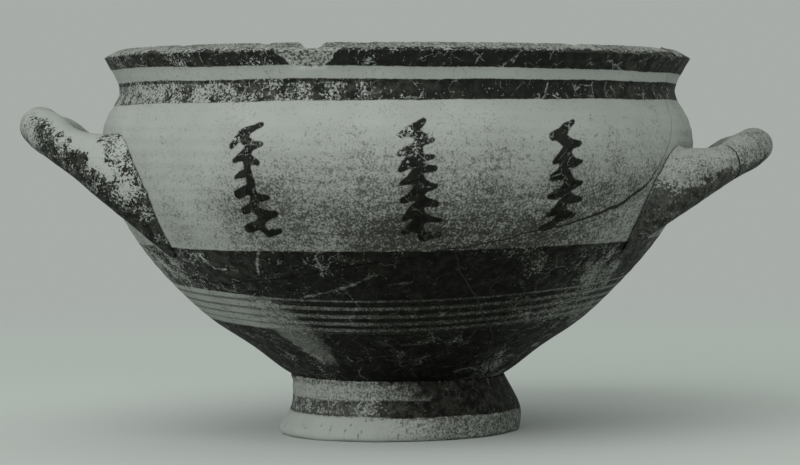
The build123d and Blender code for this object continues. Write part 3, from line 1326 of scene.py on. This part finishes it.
@dataclass(frozen=True)
class RootMarks:
    """Pale marks that roots left on the lower bowl, by bearing in degrees and height in mm."""

    runs: tuple = (
        ((-47.6, 47.9), (-46.1, 45.2), (-44.8, 44.0), (-41.4, 43.9)),
        ((-29.6, 49.1), (-30.9, 47.2), (-32.8, 42.9)),
        ((-17.3, 47.4), (-16.7, 45.5), (-16.8, 43.0)),
        ((-24.1, 37.3), (-18.2, 38.5), (-11.4, 40.3), (-6.5, 42.6), (-4.1, 43.4)),
        ((-69.6, 44.7), (-66.6, 42.8), (-62.3, 41.5)),
        ((1.0, 20.3), (7.0, 20.8), (12.0, 22.1)),
        ((27.3, 17.5), (33.9, 18.4), (42.5, 17.3)),
        ((10.3, 28.5), (12.3, 25.2), (16.4, 25.7), (18.6, 25.6), (19.6, 28.3), (21.1, 25.6)),
        ((23.4, 26.1), (23.9, 29.0), (26.8, 28.7)),
        ((-5.7, 25.8), (-1.9, 24.7), (1.7, 21.9)),
        ((1.5, 25.0), (5.8, 25.2), (9.7, 25.8)),
        ((-1.7, 40.9), (3.2, 41.4)),
        ((-11.2, 53.8), (-12.5, 46.5)),
        ((131.0, 44.0), (138.0, 41.0), (149.0, 43.5), (157.0, 42.0)),
        ((-160.0, 24.0), (-150.0, 22.5), (-143.0, 26.0)),
        ((178.0, 46.0), (172.0, 41.0), (174.0, 37.0)),
    )
    highest: float = 56.0
    far: float = 6.0

    def distance(self, mesh: bpy.types.Mesh) -> np.ndarray:
        """How far each vertex lies from the nearest mark.

        Args:
            mesh: the mesh, before it leans.

        Returns:
            The distances in mm, at most far.
        """
        at = coordinates(mesh) / MM
        nearest = np.full(len(at), self.far)
        low = at[:, 2] < self.highest
        spots, found = at[low], nearest[low]
        skin = BOWL.outside(BOWL.skin_count) / MM
        for run in self.runs:
            degrees, height = np.array(run).T
            bearing, radius = np.radians(degrees), np.interp(height, skin[:, 1], skin[:, 0])
            points = np.column_stack([radius * np.sin(bearing), -radius * np.cos(bearing), height])
            for start, end in zip(points, points[1:]):
                found = np.minimum(found, run_gap(spots, start, end)[0])
        nearest[low] = found
        return nearest


@dataclass(frozen=True)
class LipFlake:
    """The flake gone from the front of the lip: corners as bearing in degrees and height in mm.

    The notch that it left in the lip's edge is from one bearing to another, down to a height.
    """

    corners: tuple = ((-25.2, 99.5), (-19.4, 92.7), (-13.6, 92.7), (-8.6, 99.5))
    notch: tuple = (-18.2, -14.4, 97.2)
    notch_share: float = 0.85
    depth: float = 0.75 * MM
    arc_per_degree: float = 1.31
    far: float = 4.0

    def distance(self, bearing: np.ndarray, height: np.ndarray) -> np.ndarray:
        """How far outside the flake each place is, in mm, and below 0 inside it.

        Args:
            bearing: angle from the front, in radians.
            height: height up the bowl, in metres.

        Returns:
            The distances, at most far either way.
        """
        at = np.column_stack([np.degrees(bearing) * self.arc_per_degree, height / MM])
        corners = np.array(self.corners) * (self.arc_per_degree, 1.0)
        outside = np.full(len(at), -np.inf)
        for start, end in zip(corners, np.roll(corners, -1, axis=0)):
            run = (end - start) / np.linalg.norm(end - start)
            outside = np.maximum(outside, (at - start) @ np.array([run[1], -run[0]]))
        return np.clip(outside, -self.far, self.far)

    def notched(self, bearing: np.ndarray, height: np.ndarray) -> np.ndarray:
        """How far the lip's edge has come down in the notch.

        Args:
            bearing: angle from the front, in radians.
            height: height up the bowl, in metres.

        Returns:
            The distances, in metres.
        """
        low, high, top = self.notch
        degrees = np.degrees(bearing)
        after = smooth_step(degrees, low - 0.8, low + 0.5)
        before = smooth_step(-degrees, -high - 0.8, -high + 0.5)
        return after * before * np.clip(height / MM - top, 0, 2) * self.notch_share * MM


@dataclass
class Bowl:
    """The thrown bowl, broken into its three sherds, and the glue between them.

    Its ridges, warp and worn lip are given by heights in mm.
    """

    groups: dict[str, bpy.types.NodeTree]
    form: BowlForm = BOWL
    lines: WavyLines = WavyLines()
    flake: LipFlake = LipFlake()
    marks: RootMarks = RootMarks()
    clay: PaintedClay = PaintedClay("bowl clay", Zone.BOWL)
    glue: GlueFinish = GlueFinish()
    steps: int = 696
    quick_steps: int = 360
    outer_count: int = 232
    quick_count: int = 90
    inner_count: int = 90
    crumb_faces: int = 400
    hub_radius: float = 6 * MM
    inset: float = 0.1 * MM
    warp: float = 0.9 * MM
    warp_height: float = 38.0
    warp_spread: float = 15.0
    ridge: float = 0.05 * MM
    ridge_pitch: float = 2.1
    ridges_start: tuple = (18, 40)
    skin_depth: float = 1.5
    lip_inside: tuple = (91.5 * MM, 68 * MM)
    lip_edge: tuple = (95.6, 97.6)
    lip_drop: float = 0.34
    glue_recess: float = 0.35 * MM
    glue_counts: tuple = (120, 60)
    glue_steps: int = 240

    def shape_wall(self) -> bpy.types.Mesh:
        """Throws the whole wall, warps it as the kiln did and wears its lip.

        Returns:
            Its mesh, upright and unbroken.
        """
        count = self.outer_count
        steps = self.steps
        mesh = self.form.spun(self.form.section(0, count, self.inner_count), steps)
        bearing, radius, height = self.form.places(mesh)
        level = height / MM
        at = coordinates(mesh)
        outward = np.column_stack([np.sin(bearing), -np.cos(bearing), np.zeros(len(at))])
        warped = np.exp(-(((level - self.warp_height) / self.warp_spread) ** 2))
        warp = -self.warp * np.clip(np.sin(bearing), 0, 1) * warped
        ridges = np.sin(level * self.ridge_pitch + bearing) * smooth_step(level, *self.ridges_start)
        shift = (warp + self.ridge * ridges - self.inset) * (radius > self.hub_radius)
        at += outward * shift[:, None]

        outer = self.form.depth(radius, height) < self.skin_depth
        rough, worn = self.lip_wear(at, radius, height)
        gap = self.flake.distance(bearing, height)
        sunk = np.where(outer, smooth_step(-gap, -0.5, 0.6), 0) * (self.flake.depth + rough * MM)
        at -= outward * sunk[:, None]
        edge = smooth_step(level, *self.lip_edge)
        at -= outward * (edge * worn * 0.8 * MM * outer)[:, None]
        drop = edge * (worn * 0.7 + np.abs(rough) * 0.6 + self.lip_drop) * MM
        at[:, 2] -= drop + self.flake.notched(bearing, height)
        move_vertices(mesh, at)
        return mesh

    def lip_wear(
        self, at: np.ndarray, radius: np.ndarray, height: np.ndarray
    ) -> tuple[np.ndarray, np.ndarray]:
        """Noise that roughens and wears the lip.

        Args:
            at: the wall's vertices.
            radius: how far they are from the bowl's axis.
            height: how high they are.

        Returns:
            How rough and how worn each vertex is, in mm, which is 0 away from the lip.
        """
        rough, worn = np.zeros(len(at)), np.zeros(len(at))
        lowest, inmost = self.lip_inside
        for i in np.flatnonzero((height > lowest) & (radius > inmost)):
            spot = Vector(at[i]) / MM
            rough[i] = noise.noise(spot * 0.9) * 0.22 + noise.noise(spot * 2.4) * 0.12
            worn[i] = max(noise.noise(spot * 0.35) + noise.noise(spot * 1.1) * 0.5 - 0.12, 0)
        return rough, worn

    def keep_fields(self, mesh: bpy.types.Mesh) -> None:
        """Keeps the distances that the painted clay reads.

        Args:
            mesh: the sherd's mesh, before it leans.
        """
        bearing, radius, height = self.form.places(mesh)
        keep_distance(mesh, "stroke_distance", self.lines.distance(bearing, height))
        keep_distance(mesh, "flake_distance", self.flake.distance(bearing, height))
        keep_distance(mesh, "depth", self.form.depth(radius, height))
        keep_distance(mesh, "mark_distance", self.marks.distance(mesh))

    def broken(
        self, mesh: bpy.types.Mesh, tool: bpy.types.Object, place: Callable[[np.ndarray], float]
    ) -> tuple[bpy.types.Mesh, bpy.types.Mesh]:
        """Breaks a mesh in two.

        Args:
            mesh: the mesh.
            tool: the blade that goes through it.
            place: what the pieces are put in order by, from their vertices.

        Returns:
            The first and the last piece.
        """
        parts = islands(combined(mesh, tool, "DIFFERENCE"), self.crumb_faces)
        parts.sort(key=lambda part: place(coordinates(part)))
        return parts[0], parts[-1]

    def build(self) -> None:
        """Makes the sherds and the glue."""
        clay, glue = self.clay.material(self.groups), self.glue.material()
        upper_cut, lower_cut = UPPER_BREAK.blade(), LOWER_BREAK.blade()
        rest, upper = self.broken(self.shape_wall(), upper_cut, lambda at: at[:, 2].min())
        lower, right = self.broken(rest, lower_cut, lambda at: at[:, 0].mean())
        sherds = {"upper_wall_sherd": upper, "lower_bowl_sherd": lower, "right_wall_sherd": right}
        for name, mesh in sherds.items():
            self.keep_fields(mesh)
            mesh.transform(self.form.leaned())
            finish_piece(name + "_thrown", mesh, clay, Slot.WALL, name)
        seams = {"upper_break_adhesive": upper_cut, "lower_break_adhesive": lower_cut}
        for name, tool in seams.items():
            section = self.form.section(self.glue_recess, *self.glue_counts)
            mesh = combined(self.form.spun(section, self.glue_steps), tool, "INTERSECT")
            mesh.transform(self.form.leaned())
            finish_piece(name + "_set", mesh, glue, Slot.GLUE, name)
        for tool in seams.values():
            bpy.data.objects.remove(tool)


# Pieces that keep the CAD's shape, softened by hand


@dataclass(frozen=True)
class HandWorked:
    """CAD solids taken over as one soft, uneven surface, with the slip at their roots smoothed."""

    name: str
    nodes: tuple
    slot: Slot
    voxel: float = 0.45 * MM
    quick_voxel_share: float = 1.6
    smooth_share: float = 0.5
    smooth_rounds: int = 6
    lumps: float = 0.22 * MM
    lump_size: float = 9.0
    grain: float = 0.05 * MM
    grain_size: float = 1.6
    swell: float = 0.02 * MM
    crease: float = 60.0

    def mesh(self) -> bpy.types.Mesh:
        """Softens the CAD solids.

        Returns:
            Their mesh as one surface.
        """
        bm = bmesh.new()
        for node in self.nodes:
            bm.from_mesh(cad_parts[node].data)
        bmesh.ops.remove_doubles(bm, verts=bm.verts, dist=WELD)
        shape = add_object("softening", mesh_of(bm, self.name))
        remesh = shape.modifiers.new("voxels", "REMESH")
        remesh.mode = "VOXEL"
        remesh.voxel_size = self.voxel * 1.0
        soften = shape.modifiers.new("soften", "SMOOTH")
        soften.factor, soften.iterations = self.smooth_share, self.smooth_rounds
        mesh = settled(shape)
        normals = np.array([vert.normal for vert in mesh.vertices])
        at = coordinates(mesh)
        shift = np.full(len(at), self.swell)
        for i, spot in enumerate(at):
            place = Vector(spot) / MM
            shift[i] += noise.noise(place / self.lump_size) * self.lumps
            shift[i] += noise.noise(place / self.grain_size) * self.grain
        at += normals * shift[:, None]
        at[:, 2] = np.maximum(at[:, 2], 0)
        move_vertices(mesh, at)
        return mesh

    def build(self, material: bpy.types.Material) -> None:
        """Makes the piece in its finish."""
        mesh = self.mesh()
        finish_piece(self.name, mesh, material, self.slot, *self.nodes, crease=self.crease)


@dataclass
class Fittings:
    """The foot, the handles and the slip that holds them."""

    groups: dict[str, bpy.types.NodeTree]
    foot_clay: PaintedClay = PaintedClay("foot clay", Zone.FOOT, wear=0.30, soil_and_shade=0.30)
    left_clay: PaintedClay = PaintedClay(
        "left handle clay", Zone.LEFT_HANDLE, wear=0.24, soil_and_shade=0.20
    )
    right_clay: PaintedClay = PaintedClay(
        "right handle clay", Zone.RIGHT_HANDLE, wear=0.40, soil_and_shade=0.42, coat=0.86, veil=0.9
    )
    glue: GlueFinish = GlueFinish("handle glue")
    unbroken_rounds: int = 16
    root_rounds: int = 8
    bow_rounds: int = 4
    bow_voxel: float = 0.35 * MM

    def build(self) -> None:
        """Makes the fittings."""
        handle = Slot.HANDLE
        foot = HandWorked("foot_worked", ("foot", "foot_luting"), Slot.FOOT)
        foot.build(self.foot_clay.material(self.groups))
        nodes = ("left_handle", "left_handle_front_luting", "left_handle_back_luting")
        left = HandWorked("left_handle_worked", nodes, handle, smooth_rounds=self.unbroken_rounds)
        left.build(self.left_clay.material(self.groups))
        clay = self.right_clay.material(self.groups)
        for arm in ("front", "back"):
            nodes = (f"right_handle_{arm}_root", f"right_handle_{arm}_luting")
            root = HandWorked(nodes[0] + "_worked", nodes, handle, smooth_rounds=self.root_rounds)
            root.build(clay)
        fineness = {"voxel": self.bow_voxel, "smooth_rounds": self.bow_rounds}
        bow = HandWorked("right_handle_bow_worked", ("right_handle_bow",), handle, **fineness)
        bow.build(clay)
        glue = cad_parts["right_handle_adhesive"]
        glue.data.materials.clear()
        glue.data.materials.append(self.glue.material())
        log.info("right_handle_adhesive: kept")


# The studio


@dataclass(frozen=True)
class Studio:
    """A pale sweep of paper, soft light from the upper left and the photograph's viewpoint."""

    eye: tuple = (0.0, -0.736, 0.075)
    aim: tuple = (1.34 * MM, 0.0, 51.45 * MM)
    roll: float = math.radians(-1.0)
    lens: float = 127.4
    sensor: float = 36.0
    nearest: float = 0.05
    paper_color: tuple = (0.530, 0.561, 0.537, 1.0)
    # Painted light: the floor is lighter near the cup.
    painted_light_color: tuple = (0.605, 0.636, 0.613, 1.0)
    painted_light_reach: tuple = (30.0, 260.0)
    paper_reach: tuple = (0.75, 0.30)
    paper_radius: float = 0.7875
    key_place: tuple = (-1.0, -1.75, 1.5)
    key_aim: tuple = (0.0, 0.0, 0.05)
    key_size: float = 3.0
    key_power: float = 39.0
    air_color: tuple = (0.390, 0.414, 0.397, 1.0)
    air_light: float = 1.38

    def camera(self) -> None:
        """Sets the camera at the photograph's viewpoint."""
        data = bpy.data.cameras.new("camera")
        data.lens, data.sensor_width, data.clip_start = self.lens, self.sensor, self.nearest
        camera = add_object("camera", data)
        camera.matrix_world = looking(self.eye, self.aim) @ Matrix.Rotation(self.roll, 4, "Z")
        bpy.context.scene.camera = camera

    def paper(self) -> None:
        """Lays the floor, a sheet that fades into the pale air behind it, painted lighter near the
        cup as a pool of light.
        """
        bm = bmesh.new()
        bmesh.ops.create_circle(bm, cap_ends=True, segments=96, radius=self.paper_radius)
        mesh = mesh_of(bm, "paper_floor")
        graph = Finish("paper")
        place = graph.place()
        away = graph.length(place)
        mottle = (graph.noise(place, 90.0, 2.0) - 0.5) * 0.1
        # Painted light: lighter near the cup, fading out to the paper's colour.
        share = (away.above(*self.painted_light_reach) + mottle).clamped()
        gone, whole = (reach / MM for reach in self.paper_reach)
        paper = graph.dressed(
            {
                "Base Color": graph.mix(share, self.painted_light_color, self.paper_color),
                "Alpha": away.above(gone, whole),
                "Roughness": 1.0,
                "Specular IOR Level": 0.0,
            }
        )
        mesh.materials.append(paper)
        add_object("paper_floor", mesh)

    def lamp(self) -> None:
        """Hangs the square soft light."""
        data = bpy.data.lights.new("key", "AREA")
        data.shape, data.size, data.energy = "SQUARE", self.key_size, self.key_power
        add_object("key", data).matrix_world = looking(self.key_place, self.key_aim)

    def air(self) -> None:
        """Fills the studio with pale air, which lights the cup more than the camera sees of it."""
        world = bpy.data.worlds.new("studio air")
        bpy.context.scene.world = world
        world.use_nodes = True
        graph = Graph(world.node_tree)
        background = world.node_tree.nodes["Background"]
        seen = graph.wire("ShaderNodeLightPath", {}, "Is Camera Ray")
        graph.feed(background.inputs["Color"], self.air_color)
        strength = seen * (1.0 - self.air_light) + self.air_light
        graph.feed(background.inputs["Strength"], strength)

    def build(self) -> None:
        """Sets up the whole studio."""
        self.camera()
        self.paper()
        self.lamp()
        self.air()
        bpy.context.scene.view_settings.view_transform = "Standard"


def main() -> None:
    """Builds the studio and the cup."""
    logging.basicConfig(level=logging.INFO, format="%(name)s %(message)s")
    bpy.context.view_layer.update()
    Studio().build()
    groups = shared_groups()
    Bowl(groups).build()
    Fittings(groups).build()


if __name__ == "__main__":
    main()
